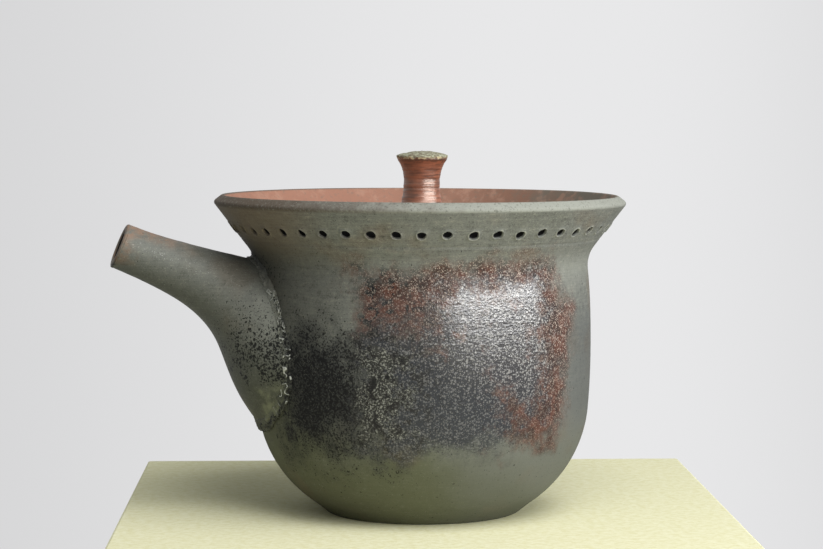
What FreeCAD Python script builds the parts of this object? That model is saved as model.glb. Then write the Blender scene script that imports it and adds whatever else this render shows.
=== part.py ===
# Handleless teapot of wood-fired stoneware: a thrown pot with a flaring pierced collar,
# a bent conical spout luted to the wall, and a sunken lid with a spool knob.
# Millimetres. The origin is the centre of the foot's resting face, +Z is up,
# and the spout points along -X.
import FreeCAD
import Part
import math
import os
from FreeCAD import Vector

# Thrown wall
wall = 3.8                      # thickness of pot and collar
belly_diameter = 98.8           # widest part of the upright wall
belly_height = 52.0
barrel_radius = 230.0           # upright curve of the wall
bowl_height = 30.4              # where the wall turns into the bowl
bowl_radius = 37.0
trim_angle = 53.0               # slope of the trimmed underside, from upright
neck_height = 71.0              # top of the pot, where the collar is joined

# Foot and floor
foot_height = 1.2
foot_batter = 1.4               # how far the foot draws in on the way down
foot_ring_width = 8.0           # flat resting ring
foot_recess = 1.2               # hollow inside the ring
floor_thickness = 3.8

# Flaring collar
rim_diameter = 120.7            # outer corner of the lip, before it is rounded
lip_height = 90.4               # height of that corner
neck_round = 9.5                # inward curve between wall and flare
lip_round = 0.9

# Pierced holes in the collar
hole_count = 49
hole_diameter = 2.6
hole_setback = 8.8              # from the lip's outer corner, down the flare
hole_start_angle = 2.0

# Seat for the lid, inside the neck
seat_drop = 1.0                 # seat below the neck joint
seat_width = 5.0
seat_lip = 2.0                  # thickness at the inner edge
seat_depth = 6.0                # length down the wall

# Spout, drawn by an upper and a lower rail in the plane of symmetry
spout_wall = 2.4
spout_reach = 87.9              # pot axis to the centre of the mouth
spout_mouth_height = 78.5
spout_mouth_diameter = 13.5
spout_mouth_angle = 22.6        # rise of the mouth's axis
spout_root_sink = 15.4          # how far the rails run in behind the widest wall
spout_root_top = 71.1           # heights of the rails' inner ends
spout_root_bottom = 12.0
upper_mouth_pull = 11.7         # lengths of the rails' end tangents
upper_root_pull = 23.7
upper_root_angle = 10.7
lower_mouth_pull = 52.3
lower_root_pull = 51.0
lower_root_angle = 40.7
spout_sections = 12
lower_lag_ratio = 1.8           # how much later sections cross the lower rail

# Clay roll worked into the corner between spout and wall
seam_width = 1.9

# Opening through the wall and the strainer dome over it
opening_diameter = 25.0
opening_height = 45.5
strainer_land = 3.5             # strainer's cover past the opening
strainer_rise = 8.0
strainer_wall = 2.2
strainer_hole_diameter = 2.2
strainer_pitch = 4.7            # between rings of holes, over the dome

# Lid
lid_clearance = 0.6             # lid's edge to the neck
lid_edge = 3.4
lid_thickness = 3.6             # at the crown
lid_crown_height = 84.0
flange_clearance = 0.8          # flange to the seat
flange_thickness = 2.8
flange_depth = 6.0
vent_diameter = 3.0
vent_offset = 19.0              # from the lid's axis

# Knob
knob_foot_diameter = 17.0
knob_waist_diameter = 10.5
knob_waist_height = 12.1        # above the lid's crown
knob_cap_diameter = 15.1
knob_cap_height = 18.6          # underside of the cap, above the crown
knob_cap_flare = 0.3            # cap's edge past its underside
knob_edge = 1.2
knob_crown_rise = 1.3

# Overrun that lets a cutting tool pass clean through a wall
overrun = 2.0

belly = belly_diameter / 2
rim = rim_diameter / 2
AXIS = Vector(0, 0, 1)


def point(radius, height):
    """A point of a profile, drawn in the half plane of +X."""
    return Vector(radius, 0, height)


def polar(centre, radius, angle):
    return centre + point(radius * math.cos(angle), radius * math.sin(angle))


def arc(centre, radius, start, end):
    """Arc of a profile between two angles, in radians."""
    middle = polar(centre, radius, (start + end) / 2)
    return Part.Arc(polar(centre, radius, start), middle, polar(centre, radius, end)).toShape()


def line(start, end):
    return Part.LineSegment(start, end).toShape()


def lines(*points):
    return [line(a, b) for a, b in zip(points, points[1:])]


def arc_height(radius, chord_radius, rise):
    """Drop below the crown of a dome that falls by rise over chord_radius."""
    sphere = (chord_radius ** 2 + rise ** 2) / (2 * rise)
    return sphere - math.sqrt(sphere ** 2 - radius ** 2)


def dome_edge(start_radius, end_radius, crown, chord_radius, rise):
    """Edge of a domed surface, from one radius to another."""
    radii = (start_radius, (start_radius + end_radius) / 2, end_radius)
    points = [point(r, crown - arc_height(r, chord_radius, rise)) for r in radii]
    return Part.Arc(*points).toShape()


def revolve(edges):
    """Solid turned about the pot's axis from a closed profile."""
    wire = Part.Wire(Part.__sortEdges__(edges))
    return Part.Face(wire).revolve(Vector(0, 0, 0), AXIS, 360).Solids[0]


# Centres and angles of the wall's curves. Every surface of the wall is the same chain of
# curves at another inset, so inner and outer faces stay parallel.
barrel_centre = point(belly - barrel_radius, belly_height)
turn = math.asin((bowl_height - belly_height) / barrel_radius)
neck = math.asin((neck_height - belly_height) / barrel_radius)
bowl_centre = polar(barrel_centre, barrel_radius - bowl_radius, turn)
trim = math.radians(trim_angle)
neck_centre = polar(barrel_centre, barrel_radius + neck_round, neck)
lip_edge = point(rim, lip_height)
to_lip = lip_edge - neck_centre
flare_turn = math.atan2(to_lip.z, to_lip.x) + math.acos(neck_round / to_lip.Length)
flare_inward = point(math.cos(flare_turn), math.sin(flare_turn))
flare_up = point(math.sin(flare_turn), -math.cos(flare_turn))
floor_top = foot_recess + floor_thickness
seat_height = neck_height - seat_drop
neck_bore = polar(barrel_centre, barrel_radius - wall, neck).x


def wall_radius(height, inset):
    """Radius of the upright wall's surface at a height."""
    return barrel_centre.x + math.sqrt((barrel_radius - inset) ** 2 - (height - belly_height) ** 2)


def pot_edges(inset, low_angle):
    """Bowl and upright wall, from an angle on the bowl up to the neck."""
    bowl = arc(bowl_centre, bowl_radius - inset, low_angle, turn)
    barrel = arc(barrel_centre, barrel_radius - inset, turn, neck)
    return [bowl, barrel]


def collar_edges(inset):
    """Neck curve and flare, from the neck up to the lip."""
    radius = neck_round + inset
    curve = arc(neck_centre, radius, neck + math.pi, flare_turn)
    start = polar(neck_centre, radius, flare_turn)
    return [curve, line(start, lip_edge + flare_inward * inset)]


def filled_pot(inset):
    """Everything inside one surface of the wall, from the trimmed bowl to the lip."""
    bottom = polar(bowl_centre, bowl_radius - inset, -trim)
    top = lip_edge + flare_inward * inset
    closing = lines(bottom, point(0, bottom.z), point(0, top.z), top)
    return revolve(pot_edges(inset, -trim) + collar_edges(inset) + closing)


def opening_tool():
    """Cylinder along X for the opening from the pot to the spout."""
    start = Vector(-belly - overrun, 0, opening_height)
    return Part.makeCylinder(opening_diameter / 2, belly, start, Vector(1, 0, 0))


def make_pot_body():
    trim_end = polar(bowl_centre, bowl_radius, -trim)
    foot_top = trim_end.x - (trim_end.z - foot_height) * math.tan(trim)
    foot_edge = foot_top - foot_batter
    recess = foot_edge - foot_ring_width
    inner_bowl = bowl_radius - wall
    floor_angle = -math.asin((bowl_centre.z - floor_top) / inner_bowl)
    floor_edge = polar(bowl_centre, inner_bowl, floor_angle)
    underside = lines(
        point(0, foot_recess), point(recess, foot_recess), point(recess, 0), point(foot_edge, 0),
        point(foot_top, foot_height), trim_end)
    joint = line(polar(barrel_centre, barrel_radius, neck), point(neck_bore, neck_bore_height()))
    floor = lines(floor_edge, point(0, floor_top), point(0, foot_recess))
    shell = revolve(underside + pot_edges(0, -trim) + [joint] + pot_edges(wall, floor_angle) + floor)
    return shell.cut(opening_tool())


def neck_bore_height():
    """Height of the joint's inner edge: the joint is square to the wall."""
    return polar(barrel_centre, barrel_radius - wall, neck).z


def make_flared_collar():
    lip_inner = lip_edge + flare_inward * wall
    joint = line(point(neck_bore, neck_bore_height()), polar(barrel_centre, barrel_radius, neck))
    ring = revolve([joint] + collar_edges(0) + [line(lip_edge, lip_inner)] + collar_edges(wall))
    lip_heights = (lip_edge.z, lip_inner.z)
    lip_edges = [e for e in ring.Edges if e.Length > rim and on_any(e, lip_heights)]
    ring = ring.makeFillet(lip_round, lip_edges)
    hole_mouth = lip_edge - flare_up * hole_setback - flare_inward * overrun
    drill = Part.makeCylinder(hole_diameter / 2, wall + 2 * overrun, hole_mouth, flare_inward)
    drills = []
    for i in range(hole_count):
        copy = drill.copy()
        copy.rotate(Vector(0, 0, 0), AXIS, hole_start_angle + i * 360 / hole_count)
        drills.append(copy)
    return ring.cut(Part.makeCompound(drills))


def on_any(edge, heights):
    """Whether a round edge lies at one of the heights."""
    box = edge.BoundBox
    return any(abs(box.ZMin - h) + abs(box.ZMax - h) < 1e-4 for h in heights)


def make_lid_seat_ring():
    outer_top = point(wall_radius(seat_height, wall), seat_height)
    low = seat_height - seat_depth
    outer_low = point(wall_radius(low, wall), low)
    middle = (seat_height + low) / 2
    outer = Part.Arc(outer_low, point(wall_radius(middle, wall), middle), outer_top).toShape()
    ledge = lines(outer_top, point(seat_bore(), seat_height),
                  point(seat_bore(), seat_height - seat_lip), outer_low)
    return revolve([outer] + ledge)


def seat_bore():
    return neck_bore - seat_width


def bezier(points):
    curve = Part.BezierCurve()
    curve.setPoles(points)
    return curve


def spout_rails():
    """Upper and lower rails, each from the mouth to its end inside the pot."""
    tilt = math.radians(spout_mouth_angle)
    along = Vector(-math.cos(tilt), 0, math.sin(tilt))
    across = Vector(math.sin(tilt), 0, math.cos(tilt)) * (spout_mouth_diameter / 2)
    mouth = Vector(-spout_reach, 0, spout_mouth_height)
    root = spout_root_sink - belly
    settings = (
        (mouth + across, upper_mouth_pull, spout_root_top, upper_root_pull, upper_root_angle),
        (mouth - across, lower_mouth_pull, spout_root_bottom, lower_root_pull, lower_root_angle))
    rails = []
    for start, mouth_pull, height, root_pull, slope in settings:
        end = Vector(root, 0, height)
        rise = math.radians(slope)
        root_tangent = Vector(-math.cos(rise), 0, math.sin(rise)) * root_pull
        rails.append(bezier([start, start - along * mouth_pull, end + root_tangent, end]))
    return rails, along


def ring_wire(top, bottom, grow):
    """Circle of four arcs that spans the rails, larger all round by grow."""
    centre = (top + bottom) / 2
    up = top - centre
    radius = up.Length + grow
    up.normalize()
    side = Vector(0, 1, 0)
    spots = [centre + (up * math.cos(a) + side * math.sin(a)) * radius
             for a in (i * math.pi / 4 for i in range(9))]
    arcs = [Part.Arc(spots[i], spots[i + 1], spots[i + 2]).toShape() for i in (0, 2, 4, 6)]
    return Part.Wire(arcs)


def spout_loft(grow, past_mouth):
    """Solid spout, larger all round by grow and longer at the mouth by past_mouth."""
    (upper, lower), along = spout_rails()
    rings = []
    if past_mouth:
        ahead = along * past_mouth
        rings.append(ring_wire(upper.value(0) + ahead, lower.value(0) + ahead, grow))
    for i in range(spout_sections):
        share = i / (spout_sections - 1)
        rings.append(ring_wire(upper.value(share), lower.value(share ** lower_lag_ratio), grow))
    return Part.makeLoft(rings, True)


def make_spout():
    return spout_loft(0, 0).cut(spout_loft(-spout_wall, overrun)).cut(filled_pot(0))


def make_spout_seam():
    """Clay within one seam width of both the wall and the spout, outside of each."""
    corner = spout_loft(seam_width, 0).common(filled_pot(-seam_width))
    return corner.cut(filled_pot(0)).cut(spout_loft(0, 0))


def make_strainer_dome():
    inner_wall = wall_radius(opening_height, wall)
    base = opening_diameter / 2 + strainer_land
    sphere = (base ** 2 + strainer_rise ** 2) / (2 * strainer_rise)
    apex = strainer_rise - math.sqrt(inner_wall ** 2 - base ** 2)
    centre = Vector(apex - sphere, 0, opening_height)
    dome = Part.makeSphere(sphere, centre).cut(Part.makeSphere(sphere - strainer_wall, centre))
    dome = dome.common(filled_pot(wall))
    holes = []
    step = strainer_pitch / sphere
    ring_count = int(math.asin((opening_diameter / 2) / sphere) / step)
    for ring in range(ring_count + 1):
        for i in range(max(1, 6 * ring)):
            around = 2 * math.pi * i / max(1, 6 * ring)
            away = math.sin(ring * step)
            aim = Vector(math.cos(ring * step), away * math.cos(around), away * math.sin(around))
            start = centre + aim * (sphere - strainer_wall - overrun)
            length = strainer_wall + 2 * overrun
            holes.append(Part.makeCylinder(strainer_hole_diameter / 2, length, start, aim))
    return dome.cut(Part.makeCompound(holes))


def flange_radius():
    return seat_bore() - flange_clearance


def lid_radius():
    return neck_bore - lid_clearance


def lid_rise():
    return lid_crown_height - seat_height - lid_edge


def make_lid_plate():
    edge = lid_radius()
    inner = flange_radius() - flange_thickness
    under_crown = lid_crown_height - lid_thickness
    edge_top = point(edge, seat_height + lid_edge)
    profile = [
        dome_edge(0, edge, lid_crown_height, edge, lid_rise()),
        line(edge_top, point(edge, seat_height)),
        line(point(edge, seat_height), point(inner, seat_height)),
        dome_edge(inner, 0, under_crown, inner, under_crown - seat_height),
        line(point(0, under_crown), point(0, lid_crown_height))]
    foot = Vector(vent_offset, 0, seat_height)
    vent = Part.makeCylinder(vent_diameter / 2, lid_crown_height - seat_height + overrun, foot)
    return revolve(profile).cut(vent)


def make_lid_flange():
    outer = flange_radius()
    inner = outer - flange_thickness
    low = seat_height - flange_depth
    return revolve(lines(point(outer, seat_height), point(outer, low), point(inner, low),
                         point(inner, seat_height), point(outer, seat_height)))


def waist_arc(radius, height, waist):
    """Knob's hollow side: upright at the waist, ending at a radius and a height."""
    rise = height - waist.z
    spread = radius - waist.x
    curve = (rise ** 2 + spread ** 2) / (2 * spread)
    half = rise / 2
    middle = waist.x + curve - math.sqrt(curve ** 2 - half ** 2)
    return Part.Arc(waist, point(middle, waist.z + half), point(radius, height)).toShape()


def make_lid_knob():
    foot = knob_foot_diameter / 2
    cap = knob_cap_diameter / 2
    foot_height_on_lid = lid_crown_height - arc_height(foot, lid_radius(), lid_rise())
    waist = point(knob_waist_diameter / 2, lid_crown_height + knob_waist_height)
    under = point(cap - knob_cap_flare, lid_crown_height + knob_cap_height)
    edge_top = under.z + knob_edge
    top = edge_top + knob_crown_rise
    profile = [
        dome_edge(0, foot, lid_crown_height, lid_radius(), lid_rise()),
        waist_arc(foot, foot_height_on_lid, waist),
        waist_arc(under.x, under.z, waist),
        line(under, point(cap, edge_top)),
        dome_edge(cap, 0, top, cap, knob_crown_rise),
        line(point(0, top), point(0, lid_crown_height))]
    return revolve(profile)


PIECES = {
    "pot_body": make_pot_body,
    "flared_collar": make_flared_collar,
    "lid_seat_ring": make_lid_seat_ring,
    "spout": make_spout,
    "spout_seam": make_spout_seam,
    "strainer_dome": make_strainer_dome,
    "lid_plate": make_lid_plate,
    "lid_flange": make_lid_flange,
    "lid_knob": make_lid_knob,
}

os.makedirs("parts", exist_ok=True)
for name, make in PIECES.items():
    shape = make()
    box = shape.BoundBox
    size = f"{box.XLength:.1f} x {box.YLength:.1f} x {box.ZLength:.1f}"
    print(name, len(shape.Solids), "solid", size, f"{shape.Volume / 1000:.1f} cm3", shape.isValid())
    shape.exportStep(f"parts/{name}.step")
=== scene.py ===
# %% [markdown]
# # A wood-fired teapot without a handle
# This lesson dresses the imported model of a small stoneware teapot. The real pot is thrown on a wheel,
# pierced and joined while the clay is soft, and fired with wood, so that ash and flame paint it.
# Shapes come first, each as one piece, then the fired finishes, and last the studio.
# The dressed pot has to stay inside the imported model's box.

# %% Load the frame
import bmesh
import bpy
import math
from functools import cache
from mathutils import Color, Matrix, Vector, noise


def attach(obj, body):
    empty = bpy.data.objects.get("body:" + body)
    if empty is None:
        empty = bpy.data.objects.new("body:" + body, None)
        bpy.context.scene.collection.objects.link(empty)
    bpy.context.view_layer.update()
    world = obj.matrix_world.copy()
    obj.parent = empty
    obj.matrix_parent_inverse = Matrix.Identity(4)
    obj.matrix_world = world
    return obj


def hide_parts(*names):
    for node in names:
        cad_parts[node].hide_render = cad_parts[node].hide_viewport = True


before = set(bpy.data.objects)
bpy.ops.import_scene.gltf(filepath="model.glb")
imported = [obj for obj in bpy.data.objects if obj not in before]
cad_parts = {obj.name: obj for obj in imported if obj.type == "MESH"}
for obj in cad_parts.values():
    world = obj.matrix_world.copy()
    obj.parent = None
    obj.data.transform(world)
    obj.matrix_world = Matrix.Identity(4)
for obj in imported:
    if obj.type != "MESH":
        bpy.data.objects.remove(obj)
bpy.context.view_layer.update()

# %% [markdown]
# ## The wall's curves
# A thrown wall is one sheet of clay, pulled up and bent, so its inside follows its outside.
# The wall could be drawn freehand, but the solids already fix it as a chain of curves: a bowl, a long
# upright arc, a tight bend at the neck and a straight flare. Writing down the same centres and angles lets
# the dressed pot fall exactly on them. The clay is shaped in millimetres, and scaled to metres at the end.

# %% Centres and angles of the wall
WALL = 3.8
BELLY = 49.4
BELLY_HEIGHT = 52.0
BARREL_RADIUS = 230.0
BOWL_HEIGHT = 30.4
BOWL_RADIUS = 37.0
TRIM = math.radians(53.0)
NECK_HEIGHT = 71.0
NECK_ROUND = 9.5
RIM = 60.35
LIP_HEIGHT = 90.4


def spot(radius, height):
    """A point of a profile, in the half plane of +X."""
    return Vector((radius, 0, height))


def polar(centre, radius, angle):
    return centre + spot(radius * math.cos(angle), radius * math.sin(angle))


barrel_centre = spot(BELLY - BARREL_RADIUS, BELLY_HEIGHT)
turn = math.asin((BOWL_HEIGHT - BELLY_HEIGHT) / BARREL_RADIUS)
neck = math.asin((NECK_HEIGHT - BELLY_HEIGHT) / BARREL_RADIUS)
bowl_centre = polar(barrel_centre, BARREL_RADIUS - BOWL_RADIUS, turn)
neck_centre = polar(barrel_centre, BARREL_RADIUS + NECK_ROUND, neck)
lip_edge = spot(RIM, LIP_HEIGHT)
to_lip = lip_edge - neck_centre
flare_turn = math.atan2(to_lip.z, to_lip.x) + math.acos(NECK_ROUND / to_lip.length)
flare_inward = spot(math.cos(flare_turn), math.sin(flare_turn))
flare_up = spot(math.sin(flare_turn), -math.cos(flare_turn))
flare_foot = polar(neck_centre, NECK_ROUND, flare_turn)
print("flare is", round((lip_edge - flare_foot).length, 1), "mm long")

# %% [markdown]
# Later steps ask how deep a point lies in the wall: the spout has to end there, and the flame coloured
# the inside of the pot differently from the outside. One question of the curves answers both.


# %% Depth below the outer surface
def depth(point):
    """How far a point lies below the pot's outer surface. It is less than zero outside the pot."""
    here = spot(math.hypot(point.x, point.y), point.z)
    if (here - flare_foot).dot(flare_up) > 0:
        return (here - lip_edge).dot(flare_inward)
    from_barrel = here - barrel_centre
    angle = math.atan2(from_barrel.z, from_barrel.x)
    if angle > neck:
        return (here - neck_centre).length - NECK_ROUND
    if angle > turn:
        return BARREL_RADIUS - from_barrel.length
    return BOWL_RADIUS - (here - bowl_centre).length


print("depth inside the belly:", round(depth(spot(BELLY - WALL, BELLY_HEIGHT)), 2), "mm")

# %% [markdown]
# ## The profile
# A potter judges a pot by its section, and here the section is drawn as one line, from under the foot, up
# the outside, over the lip and down the inside, with the ledge that carries the lid. A curve object could
# hold it, but two small tools are enough: one pulls the line's end to a point, the other turns it about a
# centre and leaves an arc. A bevel then rounds the corners, as a sponge does.


# %% Tools that draw a profile
def draw_to(bm, end, target, rows):
    """Pulls the end of a profile to a point in a straight line of rows."""
    start = end.co.copy()
    for row in range(rows):
        end = bmesh.ops.extrude_vert_indiv(bm, verts=[end])["verts"][0]
        end.co = start.lerp(target, (row + 1) / rows)
    return end


def draw_arc(bm, end, centre, angle, rows):
    """Turns the end of a profile about a centre, and leaves an arc of rows behind it."""
    turned = bmesh.ops.spin(bm, geom=[end], cent=centre, axis=(0, -1, 0), angle=angle, steps=rows)
    return next(item for item in turned["geom_last"] if isinstance(item, bmesh.types.BMVert))


def soften(bm, corners, size, segments):
    """Rounds corners of a profile."""
    bmesh.ops.bevel(bm, geom=corners, offset=size, segments=segments, profile=0.5, material=-1,
                    affect="VERTICES")


# %% Draw the pot's profile
FOOT_RECESS = 1.2
FOOT_HEIGHT = 1.2
FOOT_BATTER = 1.4
FOOT_RING = 8.0
FLOOR_TOP = 5.0
SEAT_HEIGHT = 70.0
SEAT_WIDTH = 5.0
SEAT_LIP = 2.0
SEAT_DEPTH = 6.0
HOLE_SETBACK = 8.8
HOLE_BLOCK = 5.2
BLOCK_LOW = HOLE_SETBACK + HOLE_BLOCK / 2
BLOCK_HIGH = HOLE_SETBACK - HOLE_BLOCK / 2
LINE_SETBACK = 13.1
LINE_WIDTH = 0.6
LIP_SOFT = 0.9
SEAT_SOFT = 0.5
FOOT_SOFT = 0.35

trim_end = polar(bowl_centre, BOWL_RADIUS, -TRIM)
foot_top = trim_end.x - (trim_end.z - FOOT_HEIGHT) * math.tan(TRIM)
foot_edge = foot_top - FOOT_BATTER
inner_neck = polar(barrel_centre, BARREL_RADIUS - WALL, neck)
seat_bore = inner_neck.x - SEAT_WIDTH


def inner_radius(height):
    """Radius of the upright wall's inside at a height."""
    return barrel_centre.x + math.sqrt((BARREL_RADIUS - WALL) ** 2 - (height - BELLY_HEIGHT) ** 2)


def draw_outside(bm):
    """Underside, foot, wall and flare, up to the lip's outer corner. Returns the corners and the end."""
    end = bm.verts.new(spot(0, FOOT_RECESS))
    corners = []
    ring_inner = foot_edge - FOOT_RING
    for target, rows in ((spot(ring_inner, FOOT_RECESS), 3), (spot(ring_inner, 0), 1),
                         (spot(foot_edge, 0), 4), (spot(foot_top, FOOT_HEIGHT), 1)):
        end = draw_to(bm, end, target, rows)
        corners.append(end)
    end = draw_to(bm, end, trim_end, 9)
    end = draw_arc(bm, end, bowl_centre, turn + TRIM, 33)
    end = draw_arc(bm, end, barrel_centre, neck - turn, 50)
    end = draw_arc(bm, end, neck_centre, flare_turn - neck - math.pi, 9)
    for setback, rows in ((LINE_SETBACK + LINE_WIDTH / 2, 3), (LINE_SETBACK - LINE_WIDTH / 2, 2),
                          (BLOCK_LOW, 2), (BLOCK_HIGH, 6), (0, 6)):
        end = draw_to(bm, end, lip_edge - flare_up * setback, rows)
    return corners, end


def draw_inside(bm, end):
    """Lip, inner flare, lid seat, inner wall and floor. Returns the corners of lip and seat."""
    lip_inner = lip_edge + flare_inward * WALL
    end = draw_to(bm, end, lip_inner, 3)
    lip_corner = end
    for setback in (BLOCK_HIGH, BLOCK_LOW):
        end = draw_to(bm, end, lip_inner - flare_up * setback, 6)
    end = draw_to(bm, end, flare_foot + flare_inward * WALL, 5)
    end = draw_arc(bm, end, neck_centre, neck + math.pi - flare_turn, 9)
    seat_low = spot(inner_radius(SEAT_HEIGHT - SEAT_DEPTH), SEAT_HEIGHT - SEAT_DEPTH)
    corners = []
    for target, rows in ((spot(inner_radius(SEAT_HEIGHT), SEAT_HEIGHT), 1),
                         (spot(seat_bore, SEAT_HEIGHT), 5),
                         (spot(seat_bore, SEAT_HEIGHT - SEAT_LIP), 2), (seat_low, 7)):
        end = draw_to(bm, end, target, rows)
        corners.append(end)
    below_seat = math.asin((seat_low.z - BELLY_HEIGHT) / (BARREL_RADIUS - WALL))
    end = draw_arc(bm, end, barrel_centre, turn - below_seat, 16)
    floor_angle = -math.asin((bowl_centre.z - FLOOR_TOP) / (BOWL_RADIUS - WALL))
    end = draw_arc(bm, end, bowl_centre, floor_angle - turn, 15)
    end = draw_to(bm, end, spot(0, FLOOR_TOP), 8)
    return lip_corner, corners[1:]


pot = bmesh.new()
foot_corners, lip_corner = draw_outside(pot)
inner_lip_corner, seat_corners = draw_inside(pot, lip_corner)
soften(pot, [lip_corner, inner_lip_corner], LIP_SOFT, 4)
soften(pot, seat_corners, SEAT_SOFT, 2)
soften(pot, foot_corners, FOOT_SOFT, 2)
print("pot profile:", len(pot.verts), "points")

# %% [markdown]
# ## Pierced holes
# Forty-nine holes run round the collar, pushed through from outside with a stick while the clay was
# leather hard, so each has a raised burr. A Boolean cutter could make them, but it leaves slivers on a
# curved wall. Here only the slice around one hole, a forty-ninth of a turn, is spun from the profile. The
# hole is opened in it ring by ring, and the finished slice is then repeated round the pot.

# %% Spin one sector
HOLE_COUNT = 49
SECTOR = 2 * math.pi / HOLE_COUNT
COLUMNS = 8


def turn_by(bm, angle):
    bmesh.ops.rotate(bm, cent=(0, 0, 0), matrix=Matrix.Rotation(angle, 3, "Z"), verts=bm.verts)


def spin_round(bm, angle, steps, **options):
    """Spins all that is drawn so far about the pot's axis."""
    drawn = bm.verts[:] + bm.edges[:] + bm.faces[:]
    bmesh.ops.spin(bm, geom=drawn, cent=(0, 0, 0), axis=(0, 0, 1), angle=angle, steps=steps, **options)


turn_by(pot, -SECTOR / 2)
spin_round(pot, SECTOR, COLUMNS)
print("sector:", len(pot.faces), "faces")


# %% Pierce the sector
HOLE_SIDES = 24
BLOCK_COLUMNS = 6
BURR_RINGS = ((1.95, 0.0), (1.72, -0.14), (1.52, -0.26), (1.36, -0.18), (1.28, 0.22), (1.24, 1.9),
              (1.3, 3.4), (1.55, WALL + 0.08), (1.85, WALL))

hole_centre = lip_edge - flare_up * HOLE_SETBACK
burr = pot.verts.layers.float.new("burr")


def in_block(face):
    """Whether a face lies in the square around the hole, on either side of the wall."""
    middle = face.calc_center_median()
    around = math.atan2(middle.y, middle.x)
    here = spot(math.hypot(middle.x, middle.y), middle.z)
    along = (here - hole_centre).dot(flare_up)
    return (abs(around) < SECTOR * BLOCK_COLUMNS / COLUMNS / 2 and abs(along) < HOLE_BLOCK / 2
            and -1 < depth(middle) < WALL + 1)


def ring_edges(ring):
    return list({edge for vert in ring for edge in vert.link_edges})


def cut_out(bm, faces):
    """Takes a set of faces out, and gives back the edges that it leaves open."""
    rim = {edge for face in faces for edge in face.edges if any(f not in faces for f in edge.link_faces)}
    bmesh.ops.delete(bm, geom=list(faces), context="FACES")
    return list(rim)


block = {face for face in pot.faces if in_block(face)}
borders = cut_out(pot, block)
outer_border = [edge for edge in borders if depth(edge.verts[0].co) < WALL / 2]
inner_border = [edge for edge in borders if depth(edge.verts[0].co) > WALL / 2]

hole_axes = Matrix((Vector((0, 1, 0)), flare_up, -flare_inward)).transposed().to_4x4()
loops = [outer_border]
for radius, sunk in BURR_RINGS:
    place = Matrix.Translation(hole_centre + flare_inward * sunk) @ hole_axes
    ring = bmesh.ops.create_circle(pot, segments=HOLE_SIDES, radius=radius, matrix=place)["verts"]
    for vert in ring:
        vert[burr] = max(0, -sunk)
    loops.append(ring_edges(ring))
loops.append(inner_border)
for first, second in zip(loops, loops[1:]):
    bmesh.ops.bridge_loops(pot, edges=first + second)
print("sector:", len(block), "faces opened,", len(pot.faces), "faces with the hole")

# %% Repeat the sector round the pot
HOLE_START = math.radians(2.0)
MERGE = 0.004

spin_round(pot, SECTOR * (HOLE_COUNT - 1), HOLE_COUNT - 1, use_duplicate=True)
turn_by(pot, HOLE_START)
bmesh.ops.remove_doubles(pot, verts=pot.verts, dist=MERGE)
bmesh.ops.recalc_face_normals(pot, faces=pot.faces)
print("whole pot:", len(pot.faces), "faces,", sum(edge.is_boundary for edge in pot.edges), "open edges")

# %% [markdown]
# ## The way to the spout
# Behind the spout a round opening leads through the wall. It is cut with one tool, which the steam vent in
# the lid uses again: faces near the axis go, the edge that is left is pulled onto a true circle, and the two
# surfaces are bridged.


# %% Open a round hole through a wall
def open_round(bm, centre, axis, radius, reach):
    """Cuts a round hole along an axis through everything within reach of its centre."""
    def offset(point):
        away = point - centre
        return away - axis * away.dot(axis)

    gone = {face for face in bm.faces
            if (face.calc_center_median() - centre).length < reach
            and offset(face.calc_center_median()).length < radius}
    rim = cut_out(bm, gone)
    for vert in {vert for edge in rim for vert in edge.verts}:
        away = offset(vert.co)
        vert.co += away * (radius / away.length - 1)
    bmesh.ops.bridge_loops(bm, edges=rim)
    print("round hole:", len(gone), "faces opened")


OPENING_HEIGHT = 45.5
OPENING_RADIUS = 12.5
opening_centre = Vector((-BELLY + WALL / 2, 0, OPENING_HEIGHT))
open_round(pot, opening_centre, Vector((1, 0, 0)), OPENING_RADIUS, reach=20)

# %% [markdown]
# ## The potter's hand
# No thrown wall is a true round. Fingers leave a slow wobble and a spiral of faint rings, a tool left one
# clear line under the holes, and no two holes sit quite level or are quite round. Noise that is the same in
# each run moves every point a little. The foot also sits a little away from the spout, and the rim a little
# towards it and higher there. The rim is drawn inwards, so the pot stays inside its box.

# %% Move the clay by hand
RING_PITCH = 3.2
RING_DEPTH = 0.05
OUTER_RINGS = 0.35
WOBBLE = 0.3
RIM_DRAW = 0.1
LINE_DEPTH = 0.16
HOLE_SHIFT = 0.6
HOLE_RAGGED = 0.22
FOOT_ASIDE = 0.6
RIM_ASIDE = 0.3
RIM_TILT = 0.004
RIM_DIP = 0.12
FLOOR_RINGS = 0.12
FLOOR_RADIUS = 28
RIM_ZONE = (76, 90)
FOOT_ZONE = (1, 8)
HOLE_ZONE = (1.8, 2.55)


def smooth_step(low, high, value):
    """Runs smoothly from 0 at low to 1 at high."""
    share = min(max((value - low) / (high - low), 0), 1)
    return share * share * (3 - 2 * share)


def shake_hole(point):
    """Shifts and roughens the clay round the nearest pierced hole."""
    radius = math.hypot(point.x, point.y)
    around = math.atan2(point.y, point.x) - HOLE_START
    number = round(around / SECTOR)
    across = (around - number * SECTOR) * radius
    along = (spot(radius, point.z) - hole_centre).dot(flare_up)
    away = math.hypot(across, along)
    near = 1 - smooth_step(*HOLE_ZONE, away)
    if near == 0 or abs(depth(point)) > WALL + 1:
        return point
    place = Vector((number * 7.3, 1.7, 0.4))
    ragged = 1 + HOLE_RAGGED * noise.noise(place + Vector((across, along, 0)) / max(away, 0.1)) * near
    across = across * ragged + HOLE_SHIFT * noise.noise(place) * near * 0.6
    lift = along * (ragged - 1) + HOLE_SHIFT * noise.noise(place + Vector((0, 5, 0))) * near
    turned = number * SECTOR + HOLE_START + across / radius
    moved = spot(radius, point.z) + flare_up * lift
    return Vector((moved.x * math.cos(turned), moved.x * math.sin(turned), moved.z))


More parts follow.
